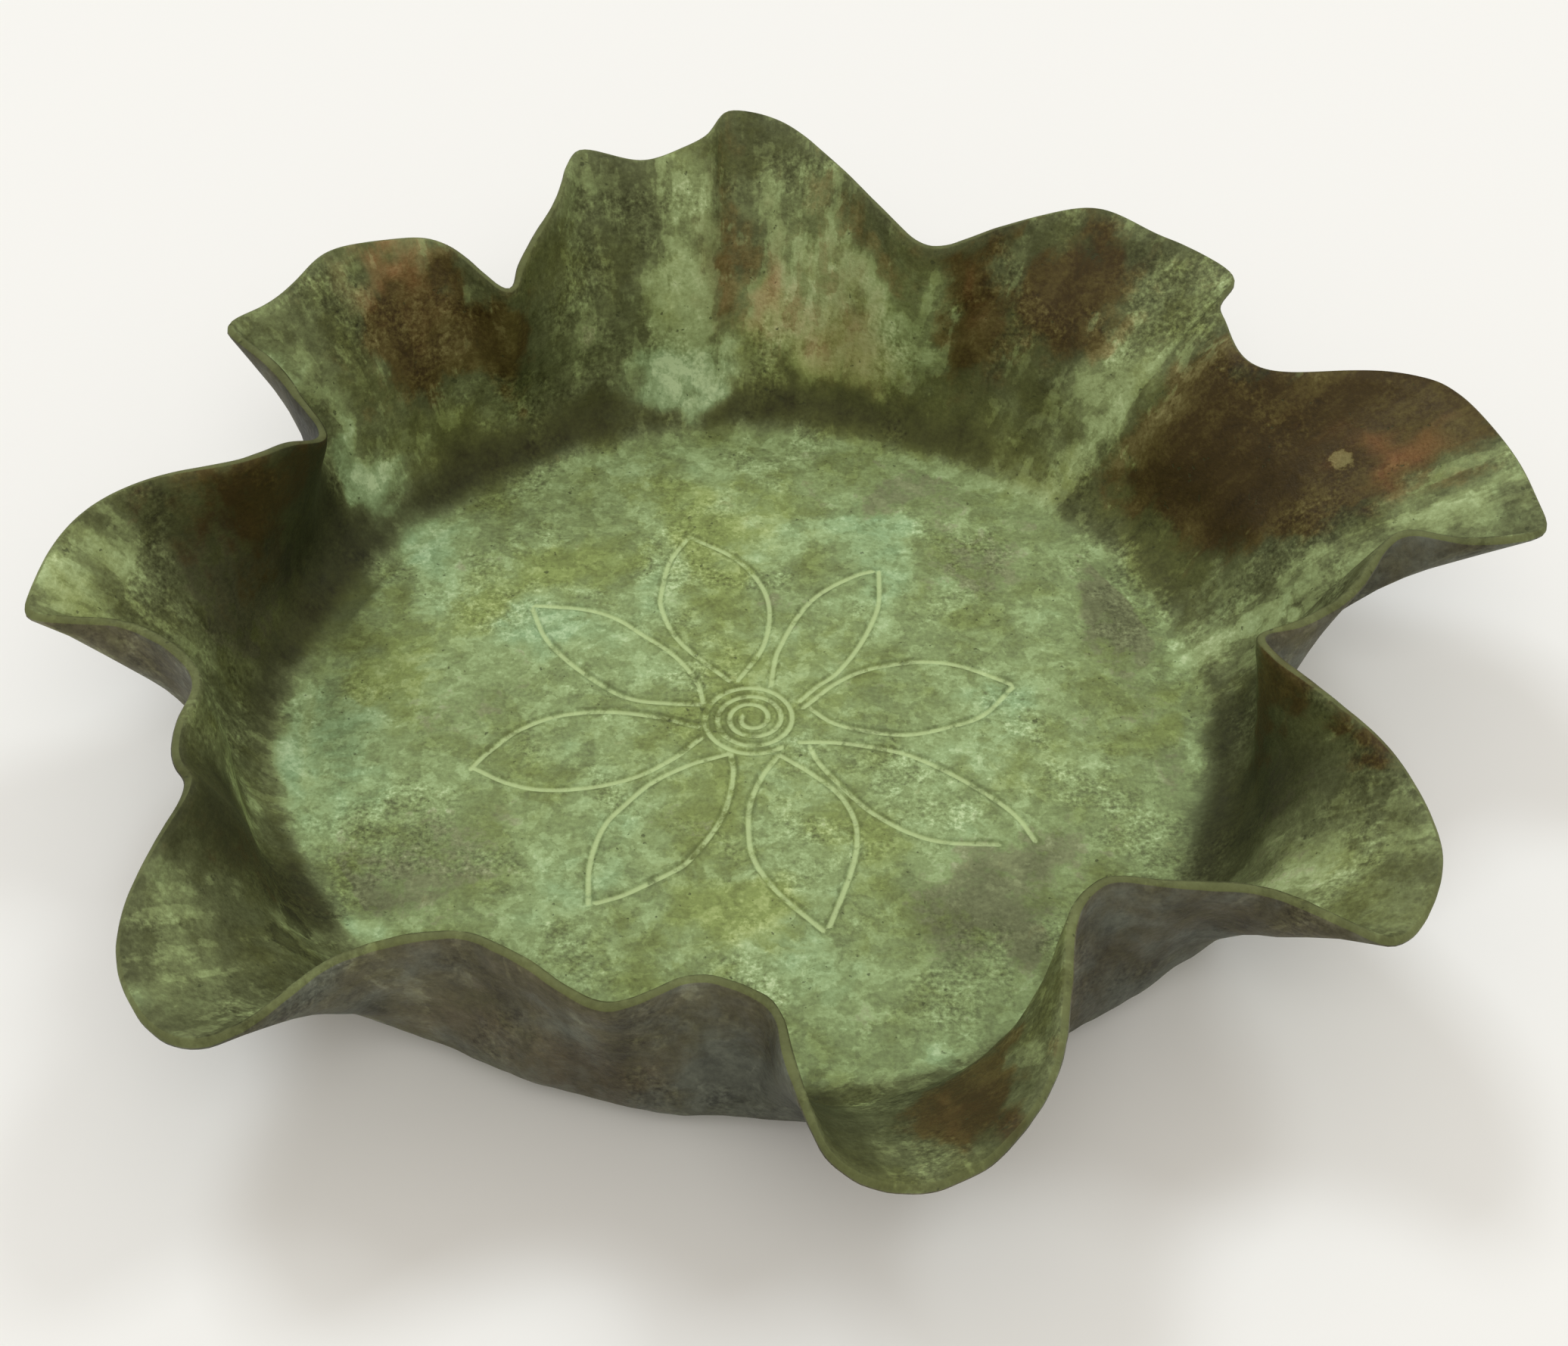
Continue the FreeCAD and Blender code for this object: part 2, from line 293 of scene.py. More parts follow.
BATCH = 2000                  # points measured at a time
MERGE_DISTANCE = 1e-4
SLIVER_AREA = 1e-7            # twice the area of the smallest triangle that is kept
FLOOR_STEP = 0.85             # distance between points on the plain floor
FLOOR_JITTER = 0.12           # how far those points stray, so that no rows of them show
FLOOR_DENTS = ((0.05, 17.0, 6), (0.02, 4.0, 7))  # depth, size and seed
SETTLED = 6.0                 # how far in from the bend they have their full depth
UNDERSIDE_RINGS = ((38, 120), (30, 90), (22, 64), (14, 40), (7, 20), (0.001, 1))  # radius, points


def stroke_line(points):
    """Points every LINE_STEP along the cubic through the given ones: each stretch takes the slopes
    of its neighbours' chords, and the ends run out straight."""
    points = np.array(points, float)
    padded = np.concatenate([[2 * points[0] - points[1]], points, [2 * points[-1] - points[-2]]])
    slope = (padded[2:] - padded[:-2]) / 2
    t = np.linspace(0, 1, 40, endpoint=False)[:, None, None]
    dense = ((2 * t ** 3 - 3 * t ** 2 + 1) * points[:-1] + (t ** 3 - 2 * t ** 2 + t) * slope[:-1]
             + (3 * t ** 2 - 2 * t ** 3) * points[1:] + (t ** 3 - t ** 2) * slope[1:])
    return even_steps(np.concatenate([dense.transpose(1, 0, 2).reshape(-1, 2), points[-1:]]))


def even_steps(line):
    """The line with its points an even LINE_STEP apart, both ends kept."""
    walked = np.append(0, np.cumsum(lengths(np.diff(line, axis=0))))
    marks = np.linspace(0, walked[-1], max(2, round(walked[-1] / LINE_STEP)))
    return np.stack([np.interp(marks, walked, line[:, k]) for k in (0, 1)], 1)


def spiral_line():
    """The spiral: its radius grows by one pitch for each turn, with a slight waver of the hand."""
    turn = np.linspace(0, SPIRAL_TURNS, 600)
    radius = SPIRAL_START[1] + SPIRAL_PITCH * turn + SPIRAL_WAVER * np.sin(turn * 9.0)
    angle = math.radians(SPIRAL_START[0]) + 2 * math.pi * turn
    return even_steps(np.stack([SPIRAL_CENTRE[0] + radius * np.cos(angle),
                                SPIRAL_CENTRE[1] + radius * np.sin(angle)], 1))


def nearest_line(points, starts, ends):
    """Distance of each point to the nearest of the line pieces."""
    found = np.empty(len(points))
    way = ends - starts
    for low in range(0, len(points), BATCH):
        gap = points[low:low + BATCH, None] - starts
        share = np.clip((gap * way).sum(-1) / (way * way).sum(-1), 0, 1)
        found[low:low + BATCH] = np.sqrt(((gap - share[..., None] * way) ** 2).sum(-1)).min(1)
    return found


lines = [stroke_line(stroke) for stroke in STROKES] + [spiral_line()]
piece_starts = np.concatenate([line[:-1] for line in lines])
piece_ends = np.concatenate([line[1:] for line in lines])

# Floor points: an even hexagonal field, and rows beside each line close enough to hold its shape.
beside = []
for line in lines:
    ahead = np.gradient(line, axis=0)
    ahead /= lengths(ahead)
    side = np.stack([-ahead[:, 1], ahead[:, 0]], 1)
    for offset in LINE_OFFSETS:
        row = line + side * offset
        beside.append(row[nearest_line(row, piece_starts, piece_ends) > abs(offset) - ROW_SLACK])
beside = np.concatenate(beside)

ring_radius = FLOOR_RADIUS - BEND_RADIUS
count = int(ring_radius / FLOOR_STEP) + 2
steps = np.arange(-2 * count, 2 * count + 1)
hex_x, hex_y = np.meshgrid(steps, steps)
field = np.stack([(hex_x + 0.5 * (hex_y % 2)) * FLOOR_STEP, hex_y * FLOOR_STEP * math.sqrt(0.75)],
                 -1).reshape(-1, 2)
field = field[np.hypot(*field.T) < ring_radius - 0.6 * FLOOR_STEP]
field = field[nearest_line(field, piece_starts, piece_ends) > LINE_OFFSETS[-1] + FIELD_GAP]
field = field + FLOOR_JITTER * np.random.default_rng(8).uniform(-1, 1, field.shape)


def filled_disc(ring, inside):
    """Triangles over a convex ring and the points inside it, as places and corner numbers. The
    ring's points come first and keep their order."""
    flat = [Vector(point) for point in np.concatenate([ring, inside])]
    places, _, faces, first, _, _ = delaunay_2d_cdt(flat, [], [], 0, MERGE_DISTANCE, True)
    number = np.array([ids[0] for ids in first])
    order = np.argsort(number)
    place = np.array([tuple(p) for p in places])[order]
    renumber = np.empty(len(order), int)
    renumber[order] = np.arange(len(order))
    corners = renumber[np.array([face[:3] for face in faces])]
    a, b, c = place[corners[:, 0]], place[corners[:, 1]], place[corners[:, 2]]
    turned = (b[:, 0] - a[:, 0]) * (c[:, 1] - a[:, 1]) - (b[:, 1] - a[:, 1]) * (c[:, 0] - a[:, 0])
    corners = np.where((turned > 0)[:, None], corners, corners[:, ::-1])
    return place, corners[np.abs(turned) > SLIVER_AREA]


floor_flat, floor_faces = filled_disc(inner_wall[0][:, :2], np.concatenate([field, beside]))
line_distance = nearest_line(floor_flat, piece_starts, piece_ends)
groove = -LINE_DEPTH * np.clip(1 - (line_distance / LINE_HALF) ** 2, 0, 1)
lip = LIP_HEIGHT * np.exp(-((line_distance - LINE_HALF - LIP_MIDDLE) / LIP_SPREAD) ** 2)
floor_points = np.column_stack([floor_flat, np.full(len(floor_flat), SHEET)])
settled = smooth(ring_radius - np.hypot(*floor_flat.T), 0.0, SETTLED)
floor_points[:, 2] += settled * sum(depth * ripple(floor_points, size, seed)
                                    for depth, size, seed in FLOOR_DENTS)
floor_points[:, 2] += np.where(line_distance < LINE_REACH, groove + lip, 0.0)


def underside_ring(radius, count):
    """Points evenly round a circle, the first of them due east."""
    turn = np.arange(count) / count * 2 * math.pi
    return radius * np.stack([np.cos(turn), np.sin(turn)], 1)


under_flat, under_faces = filled_disc(
    outer_wall[0][:, :2], np.concatenate([underside_ring(*ring) for ring in UNDERSIDE_RINGS]))
under_points = np.column_stack([under_flat, np.zeros(len(under_flat))])


def grid_faces(first, second):
    """Quads between two rings of point numbers, wound so that they face the side from which the
    first ring lies below and the numbers run to the right."""
    return np.stack([first, np.roll(first, -1), np.roll(second, -1), second], 1)


# One closed mesh: inside, rim and outside rows, then the two discs, which share their rings.
blocks = [inner_wall.reshape(-1, 3), rim_rows.reshape(-1, 3), outer_wall[::-1].reshape(-1, 3),
          floor_points[AROUND:], under_points[AROUND:]]
starts = np.cumsum([0] + [len(block) for block in blocks])
points = np.concatenate(blocks)
rings = np.arange(starts[3]).reshape(-1, AROUND)
quads = np.concatenate([grid_faces(b, a) for a, b in zip(rings[:-1], rings[1:])])
floor_number = np.where(np.arange(len(floor_points)) < AROUND, np.arange(len(floor_points)),
                        np.arange(len(floor_points)) - AROUND + starts[3])
under_number = np.where(np.arange(len(under_points)) < AROUND,
                        np.arange(len(under_points)) + starts[3] - AROUND,
                        np.arange(len(under_points)) - AROUND + starts[4])
triangles = np.concatenate([floor_number[floor_faces], under_number[under_faces][:, ::-1]])


def mesh_from(name, points, quads, triangles):
    """A mesh object at the origin from arrays of points in millimetres and of corner numbers."""
    mesh = bpy.data.meshes.new(name)
    corners = np.concatenate([quads.ravel(), triangles.ravel()]).astype(np.int32)
    sizes = np.concatenate([np.full(len(quads), 4), np.full(len(triangles), 3)])
    mesh.vertices.add(len(points))
    mesh.vertices.foreach_set("co", (points * MM).astype(np.float32).ravel())
    mesh.loops.add(len(corners))
    mesh.loops.foreach_set("vertex_index", corners)
    mesh.polygons.add(len(sizes))
    mesh.polygons.foreach_set("loop_start", np.append(0, np.cumsum(sizes)[:-1]).astype(np.int32))
    mesh.update(calc_edges=True)
    mesh.polygons.foreach_set("use_smooth", np.ones(len(sizes), bool))
    mesh.validate()
    piece = bpy.data.objects.new(name, mesh)
    bpy.context.scene.collection.objects.link(piece)
    return piece


bowl = mesh_from("hammered_bowl", points, quads, triangles)

# ---------------------------------------------------------------------------------------------
# The bowl's finish. Copper browned by heat, then greened with a salt patina that is brushed on,
# pools in the bends and chased lines, and is rubbed back to bare copper on a few high places.
# Some of its patches are painted light and shade: a dark band of painted shade in the corner at
# the wall's foot, and painted light that makes the back walls paler.

# Where each finish lies on the wall: angle and rise of its middle, its half widths, its strength.
WALL_FINISH = {
    "umber": [
        (-190, 0.7, 7, 0.35, 0.35), (-72, 0.86, 5, 0.12, 1.0), (-22, 0.98, 3, 0.05, 1.0),
        (-14, 0.8, 2, 0.3, 0.8), (24, 0.9, 8, 0.14, 1.3), (29, 0.68, 9, 0.25, 1.1),
        (36, 0.85, 6, 0.2, 0.7), (38, 0.6, 5, 0.35, 0.5), (28, 0.36, 10, 0.12, 0.1),
        (55, 0.86, 6, 0.12, 0.9), (66, 0.82, 3, 0.2, 0.9), (76, 0.95, 8, 0.06, 0.5),
        (84, 0.68, 10, 0.24, 0.7), (93.5, 0.8, 2.4, 0.25, 0.5), (131, 0.84, 9, 0.14, 1.0),
        (134, 0.66, 5, 0.12, 0.5), (123, 0.75, 3, 0.3, 0.5), (-105, 0.6, 12, 0.3, 0.6),
        (-147, 0.5, 5, 0.5, 0.3), (-50, 0.6, 8, 0.3, 0.4), (-194, 0.93, 10, 0.1, 0.5),
        (62, 0.6, 6, 0.2, 0.4),
    ],
    # Darkening by heat and painted shade together: the rows that rise about 0.2 at 73, 93, 115 and
    # 131 degrees, and the one at -188, are painted shade, a dark band in the corner where the wall
    # leaves the floor.
    "soot_and_painted_shade": [
        (-190, 0.62, 7, 0.3, 0.65), (-200, 0.4, 6, 0.7, 1.1), (-188, 0.22, 11, 0.11, 1.0),
        (-148, 0.55, 5.5, 0.5, 1.3), (-150, 0.84, 6, 0.12, 0.7), (-139, 0.75, 3, 0.1, 0.7),
        (-80, 0.75, 10, 0.2, 0.7), (-196, 0.85, 8, 0.2, 0.5), (-156, 0.17, 8, 0.06, 0.6),
        (-83, 0.4, 2.5, 0.6, 0.8), (-20, 0.4, 9, 0.4, 1.0), (-15, 0.7, 4, 0.3, 0.7),
        (-12, 0.15, 14, 0.09, 0.7), (30, 0.3, 9, 0.09, 0.4), (60, 0.66, 5, 0.16, 0.4),
        (58, 0.88, 5, 0.08, 0.4), (25, 0.76, 9, 0.18, 0.6), (29, 0.55, 9, 0.14, 0.4),
        (73, 0.26, 17, 0.12, 0.85), (93, 0.21, 9, 0.07, 0.7), (115, 0.24, 9, 0.13, 1.0),
        (131, 0.21, 12, 0.13, 1.4), (108, 0.7, 3, 0.2, 0.3), (119, 0.6, 7, 0.3, 0.3),
        (152, 0.25, 5, 0.2, 0.9), (26, 0.03, 13, 0.06, 0.5), (158, 0.5, 6, 0.6, 1.2),
        (-105, 0.5, 14, 0.4, 0.3), (-50, 0.5, 8, 0.5, 0.5), (-2, 0.3, 5, 0.15, 0.6),
    ],
    # Paler crust and painted light together: the broad faint rows at 131, 58, 95 and 112 degrees
    # are painted light that makes the back walls paler than the lamps leave them.
    "cream_and_painted_light": [
        (-176, 0.96, 6, 0.05, 1.0), (-178, 0.6, 3, 0.25, 0.4), (-158, 0.75, 3, 0.25, 0.5),
        (12, 0.5, 2.4, 0.35, 0.65), (13, 0.22, 4, 0.14, 0.5), (-28, 0.7, 5, 0.2, 0.5),
        (13, 0.95, 4, 0.06, 0.8), (40, 0.72, 1.6, 0.2, 0.6), (46, 0.5, 2.6, 0.3, 0.9),
        (50, 0.25, 5, 0.2, 0.7), (50, 0.8, 2, 0.2, 0.6), (74, 0.7, 5, 0.18, 0.9),
        (82, 0.6, 9, 0.22, 1.2), (82, 0.85, 8, 0.14, 1.0), (100, 0.75, 2.6, 0.22, 0.9),
        (-79, 0.65, 1.4, 0.35, 0.5), (-33, 0.78, 4, 0.16, 0.7), (132, 0.97, 8, 0.035, 0.5),
        (-136, 0.94, 6, 0.05, 0.5), (8, 0.3, 6, 0.1, 0.3), (128, 0.45, 2, 0.14, 0.3),
        (131, 0.6, 11, 0.3, 0.3), (58, 0.62, 10, 0.3, 0.25), (95, 0.75, 8, 0.25, 0.35),
        (112, 0.7, 6, 0.25, 0.3), (18, 0.4, 6, 0.14, 0.3),
    ],
    "mint": [
        (-168, 0.07, 13, 0.08, 1.0), (-143, 0.07, 4, 0.06, 0.8), (-140, 0.6, 3, 0.3, 0.4),
        (100, 0.4, 6, 0.14, 1.5), (102, 0.28, 5, 0.08, 1.0), (146, 0.6, 1.8, 0.3, 1.0),
        (143, 0.4, 4, 0.1, 0.9), (-156, 0.5, 3, 0.3, 0.3), (-68, 0.15, 7, 0.2, 0.3),
        (144, 0.08, 5, 0.1, 0.4), (-163, 0.3, 3, 0.12, 0.5),
    ],
    "copper": [
        (20, 0.93, 3, 0.05, 0.7), (25, 0.9, 4, 0.06, 0.3), (66, 0.88, 1.4, 0.12, 0.5),
        (88.5, 0.68, 1.3, 0.14, 0.6), (80, 0.62, 9, 0.24, 0.65), (96, 0.75, 3, 0.2, 0.4),
        (134, 0.96, 5, 0.04, 0.8), (130, 0.86, 4, 0.08, 0.3), (-74, 0.88, 1.4, 0.08, 0.3),
    ],
    "olive": [
        (75, 0.27, 20, 0.13, 1.0), (115, 0.24, 12, 0.12, 0.7), (80, 0.5, 14, 0.2, 0.5),
        (132, 0.4, 12, 0.2, 0.4), (28, 0.3, 14, 0.14, 0.5), (60, 0.5, 8, 0.3, 0.4),
    ],
    "ash": [
        (-188, 0.6, 9, 0.35, 1.1), (118, 0.65, 8, 0.3, 0.4), (-22, 0.7, 9, 0.2, 0.7),
        (-34, 0.7, 4, 0.2, 0.4),
    ],
}
# The same on the floor: east, north, half widths and strength.
FLOOR_FINISH = {
    "mint": [
        (-42, -9, 5, 11, 0.7), (-38, 22, 4, 5, 1.0), (-36, 30, 4, 4, 0.5), (14, 23, 5, 7, 1.0),
        (11, 31, 5, 3, 0.8), (-22, 13, 5, 4, 0.8), (-12, 19, 2, 3, 0.5), (27, 4, 4, 3, 0.8),
        (-13, -18, 4, 6, 0.7), (-18, -25, 5, 4, 0.5), (8, -31, 4, 6, 0.7), (-37, -28, 4, 3, 0.6),
        (4, 30, 4, 4, 0.4), (-45, -1, 3, 8, 0.5), (30, 13, 7, 4, 0.4), (-17, -7, 3, 2, 0.6),
        (-12, 42, 8, 4, 0.4),
    ],
    "ash": [
        (23, -25, 7, 7, 1.0), (30, -17, 6, 4, 0.8), (16, 36, 9, 5, 0.8), (24, 24, 6, 6, 0.8),
        (33, 33, 6, 6, 0.5), (-30, -20, 9, 8, 0.7), (-38, -24, 4, 4, 0.7), (40, 14, 4, 10, 0.7),
        (44, -8, 3, 10, 0.6), (39, 22, 6, 10, 0.7), (4, 17, 4, 4, 0.6), (13, 4, 4, 3, 0.5),
        (-25, 5, 4, 4, 0.6), (-6, -14, 5, 4, 0.5), (9, -12, 4, 4, 0.4), (-32, -2, 8, 6, 0.4),
        (12, 44, 12, 3, 0.6), (-30, 24, 8, 4, 0.4), (18, -38, 10, 5, 0.4), (-5, 17, 4, 4, 0.4),
        (36, 2, 5, 5, 0.4),
    ],
    "soot_and_painted_shade": [
        (23, -26, 6, 6, 0.25), (-35, -22, 6, 6, 0.2), (38, 22, 5, 8, 0.2), (44, 2, 2, 14, 0.25),
        (4, 17, 3, 4, 0.2), (13, 4, 3, 2, 0.2), (-30, 31, 6, 4, 0.25), (-43, 12, 3, 8, 0.4),
        (-43, -6, 3, 12, 0.3),
    ],
    "olive": [
        (-2, 30, 7, 6, 0.7), (-38, 4, 5, 6, 0.7), (-28, 16, 6, 5, 0.6), (0, -27, 6, 4, 0.9),
        (-21, 23, 6, 3, 0.6), (0, 8, 10, 8, 0.4), (0, -8, 10, 8, 0.4), (26, -4, 6, 5, 0.4),
        (12, -17, 5, 5, 0.4), (43, 1, 3, 3, 0.5), (-6, 23, 4, 6, 0.4), (-14, 38, 8, 4, 0.3),
    ],
}
FINISHES = ("umber", "soot_and_painted_shade", "cream_and_painted_light", "mint", "copper", "ash", "olive")
FLOOR_WANDER = 2.2    # how far a finish's edge strays on the floor
ANGLE_WANDER = 1.6    # the same along the wall, in degrees
RISE_WANDER = 0.05    # and up it
NO_LINE = 9.0         # distance to a chased line given to all points off the floor
PATCH_CEILING = 1.3   # the most that patches which overlap may add up to

wall_rises = np.concatenate([inner_rises, np.ones(RIM_ROWS - 1), outer_rises[::-1]])
wall_angle = np.tile(columns, len(wall_rises))
wall_rise = np.repeat(wall_rises, AROUND)
wall_points, disc_points = np.split(points, [len(wall_angle)])
row_sides = np.concatenate([np.zeros(len(inner_rises)), np.full(RIM_ROWS - 1, 0.5),
                            np.ones(len(outer_rises))])


def patch_weight(first, second, patches):
    """Sum of soft ellipses, one for each patch: its strength times e to minus half the square and
    0.3 of the fourth power of the distance from its middle in half widths, up to a ceiling. The
    wall's angles go round, so their difference is wrapped, which leaves the floor's distances as
    they are."""
    total = np.zeros(len(first))
    for middle_1, middle_2, half_1, half_2, strength in patches:
        apart = (first - middle_1 + 180) % 360 - 180
        square = (apart / half_1) ** 2 + ((second - middle_2) / half_2) ** 2
        total += strength * np.exp(-0.5 * square - 0.3 * square ** 2)
    return np.minimum(total, PATCH_CEILING)


def store(name, values):
    """A value for each point of the bowl, kept on the mesh for the finish to read."""
    kept_values = bowl.data.attributes.new(name, "FLOAT", "POINT").data
    kept_values.foreach_set("value", values.astype(np.float32))


def wander(places, seed):
    """How far a finish's edge strays at each place, from about -1 to 1: two sizes of ripple."""
    return 0.65 * ripple(places, 9.0, seed) + 0.45 * ripple(places, 3.6, seed + 1)


wall_angle_read = wall_angle + ANGLE_WANDER * wander(wall_points, 21)
wall_rise_read = wall_rise + RISE_WANDER * wander(wall_points, 23)
east_read = disc_points[:, 0] + FLOOR_WANDER * wander(disc_points, 25)
north_read = disc_points[:, 1] + FLOOR_WANDER * wander(disc_points, 27)
for finish in FINISHES:
    store(finish, np.concatenate([
        patch_weight(wall_angle_read, wall_rise_read, WALL_FINISH.get(finish, [])),
        patch_weight(east_read, north_read, FLOOR_FINISH.get(finish, []))]))
store("rise", np.concatenate([wall_rise, np.zeros(len(disc_points))]))
store("side", np.concatenate([np.repeat(row_sides, AROUND), np.zeros(len(floor_points) - AROUND),
                              np.ones(len(under_points) - AROUND)]))
line_values = np.full(len(points), NO_LINE)
line_values[starts[3]:starts[4]] = line_distance[AROUND:]
store("line", line_values)

# Lay of the sheet: where each point was before the wall was raised, with its way up shortened,
# so that brushed marks run up the wall.
BRUSH_LENGTH = 9.0
BRUSH_RADIUS = 55.0
lay = points.copy()
turn = np.radians(wall_angle)
lay[:len(turn)] = np.stack([BRUSH_RADIUS * np.cos(turn), BRUSH_RADIUS * np.sin(turn),
                            BRUSH_LENGTH * wall_rise], 1)
bowl.data.attributes.new("lay", "FLOAT_VECTOR", "POINT").data.foreach_set(
    "vector", (lay * MM).astype(np.float32).ravel())


class Wire:
    """One socket of a material's nodes. Sums with wires add Math nodes, and add() adds any
    other node."""

    def __init__(self, tree, socket=None):
        self.tree = tree
        self.socket = socket

    def add(self, kind, values=(), out=0, stops=(), **settings):
        """A new node: its settings first, then the values or wires of its sockets, which go by
        name or place."""
        node = self.tree.nodes.new("ShaderNode" + kind)
        for name, setting in settings.items():
            setattr(node, name, setting)
        for number, (place, colour) in enumerate(stops):
            elements = node.color_ramp.elements
            stop = elements[number] if number < 2 else elements.new(place)
            stop.position, stop.color = place, colour
        for name, value in dict(values).items():
            if isinstance(value, Wire):
                self.tree.links.new(value.socket, node.inputs[name])
            else:
                node.inputs[name].default_value = value
        return Wire(self.tree, node.outputs[out] if node.outputs else None)

    def maths(self, operation, first, second):
        return self.add("Math", {0: first, 1: second}, operation=operation)

    def __add__(self, other):
        return self.maths("ADD", self, other)

    def __sub__(self, other):
        return self.maths("SUBTRACT", self, other)

    def __rsub__(self, other):
        return self.maths("SUBTRACT", other, self)

    def __mul__(self, other):
        return self.maths("MULTIPLY", self, other)

    __radd__ = __add__
    __rmul__ = __mul__

    def ramp(self, low, high):
        """0 at low, 1 at high, clamped, with a smooth ramp between."""
        return self.add("MapRange", {"Value": self, "From Min": low, "From Max": high},
                        interpolation_type="SMOOTHSTEP")

    def colours(self, *stops):
        """Colours from dark to pale along this value, each given as its place and screen colour."""
        first, *others, last = [(place, pigment(*screen)) for place, screen in stops]
        return self.add("ValToRGB", {"Fac": self}, stops=[first, last] + others)


def pigment(red, green, blue):
    """A colour from its screen values of 0 to 255, as the linear light that nodes take."""
    screen = np.array([red, green, blue]) / 255
    light = np.where(screen < 0.04045, screen / 12.92, ((screen + 0.055) / 1.055) ** 2.4)
    return tuple(light) + (1.0,)


def blend(share, first, second):
    """First colour at share 0, second at share 1."""
    return share.add("Mix", {0: share, 6: first, 7: second}, out=2, data_type="RGBA")


def cloud(where, size, detail=3.0, rough=0.55, warp=0.0):
    """Smooth noise about 0, mostly within 0.25 of it, whose largest marks are about that size in
    millimetres."""
    return where.add("TexNoise", {"Vector": where, "Scale": 1 / (size * MM), "Detail": detail,
                                  "Roughness": rough, "Distortion": warp}) - 0.5


def shifted(where, east, north, up):
    """The same pattern taken from elsewhere, in millimetres."""
    return where.add("Mapping", {"Vector": where, "Location": (east * MM, north * MM, up * MM)})


patina = bpy.data.materials.new("patinated_copper_finish")
patina.use_nodes = True
patina.node_tree.nodes.clear()
start = Wire(patina.node_tree)
place = start.add("TexCoord", out=3)
brushed = start.add("Attribute", out=1, attribute_name="lay")


def kept(name):
    """The value stored on the mesh under this name."""
    return start.add("Attribute", out=2, attribute_name=name)


umber, soot_and_painted_shade, cream_and_painted_light, mint, copper, ash, olive = [kept(name) for name in FINISHES]
side, rise, line = kept("side"), kept("rise"), kept("line")
outside = side.ramp(0.7, 0.8)
rim_edge = side.ramp(0.2, 0.3) * (1 - outside)
on_wall = rise.ramp(0.04, 0.2)
on_floor = 1 - on_wall

# Marks of the crust, each with its size in millimetres.
BROAD, SALTS, BROAD_STREAKS, LARGE, MIDDLE = 16, 11, 6.5, 7.0, 5.5
STREAKS, SMALL, FINE, SPECK, GRAIN = 2.4, 2.3, 1.7, 0.8, 0.5
broad = cloud(place, BROAD, detail=4, rough=0.6)
middle = cloud(shifted(place, 31, 7, 3), MIDDLE, detail=6, rough=0.66, warp=0.5)
fine_marks = cloud(shifted(place, 5, 53, 9), FINE, detail=5, rough=0.68, warp=0.3)
grain = cloud(shifted(place, 11, 3, 37), GRAIN, detail=3, rough=0.6)
streaks = cloud(shifted(brushed, 3, 9, 1), STREAKS, detail=5, rough=0.62, warp=0.5)
broad_streaks = cloud(shifted(brushed, 13, 5, 2), BROAD_STREAKS, detail=4, rough=0.55, warp=0.4)
speck = cloud(shifted(place, 71, 13, 3), SPECK, detail=2, rough=0.5)
salts = cloud(shifted(place, 23, 91, 5), SALTS, detail=5, rough=0.6, warp=0.6).ramp(0.0, 0.16)

# The crust grows in flecks with clear edges, closer together where there is more of it.
growth = mint * 0.07 + cream_and_painted_light * 0.1 - soot_and_painted_shade * 0.11 - umber * 0.09 - ash * 0.05 - on_wall * 0.02
large_clouds = cloud(shifted(place, 43, 61, 17), LARGE, detail=7, rough=0.62, warp=0.5)
large_flecks = (large_clouds + growth).ramp(-0.03, 0.05) - 0.5
wall_clouds = cloud(shifted(brushed, 33, 29, 8), STREAKS, detail=4, rough=0.6, warp=0.3) * on_wall
small_clouds = cloud(shifted(place, 17, 83, 29), SMALL, detail=4, rough=0.6, warp=0.2)
small_flecks = (small_clouds * (1 - on_wall * 0.6) + wall_clouds * 0.6
                + growth).ramp(0.0, 0.05) - 0.5
ashen = (ash * 0.62 + fine_marks * 0.9 + middle * 0.9 + small_flecks * 0.12).ramp(0.3, 0.52)
marks = middle * 0.45 + fine_marks * (0.35 + salts * 0.3) + grain * (0.35 + salts * 0.7) \
    + large_flecks * 0.085 + small_flecks * (0.1 + on_wall * 0.04) \
    + on_wall * (streaks * 0.35 + broad_streaks * 0.4) + on_floor * broad * 0.4

# How thick and pale the crust is, from bare dark metal at 0 to white salts at 1. It also
# carries painted shade in the corner at the wall's foot and painted light on the back walls.
crust = 0.7 - on_wall * 0.25 \
    + mint * (0.07 + on_wall * 0.27) + cream_and_painted_light * 0.25 - soot_and_painted_shade * 0.23 - umber * 0.01 - ashen * 0.085 \
    + copper * 0.04 + marks * (1 - soot_and_painted_shade * 0.3 - copper * 0.4) \
    - outside * (rise.ramp(0.0, 0.5) * 0.08 + 0.02)

# Spots where drops of the greening dried: angle, rise, radius, how pale inside, how dark the rim.
SPOTS = [(22.5, 0.86, 1.6, 0.26, 0.1), (-137, 0.66, 1.8, -0.1, 0.16),
         (-142, 0.44, 1.6, -0.12, 0.14), (-134, 0.55, 1.2, -0.14, 0.1),
         (9.5, 0.6, 1.1, 0.08, 0.16)]
for spot_angle, spot_rise, radius, pale, dark in SPOTS:
    row = np.abs(inner_rises - spot_rise).argmin()
    column = np.abs((columns - spot_angle + 180) % 360 - 180).argmin()
    centre = tuple(points[row * AROUND + column] * MM)
    apart = start.add("VectorMath", {0: place, 1: centre}, out=1, operation="DISTANCE") \
        * (1 / (radius * MM)) + fine_marks * 2.2 + grain * 0.8
    ring = apart.ramp(0.6, 0.95) * apart.ramp(1.45, 1.0)
    crust = crust + apart.ramp(1.05, 0.7) * pale - ring * dark

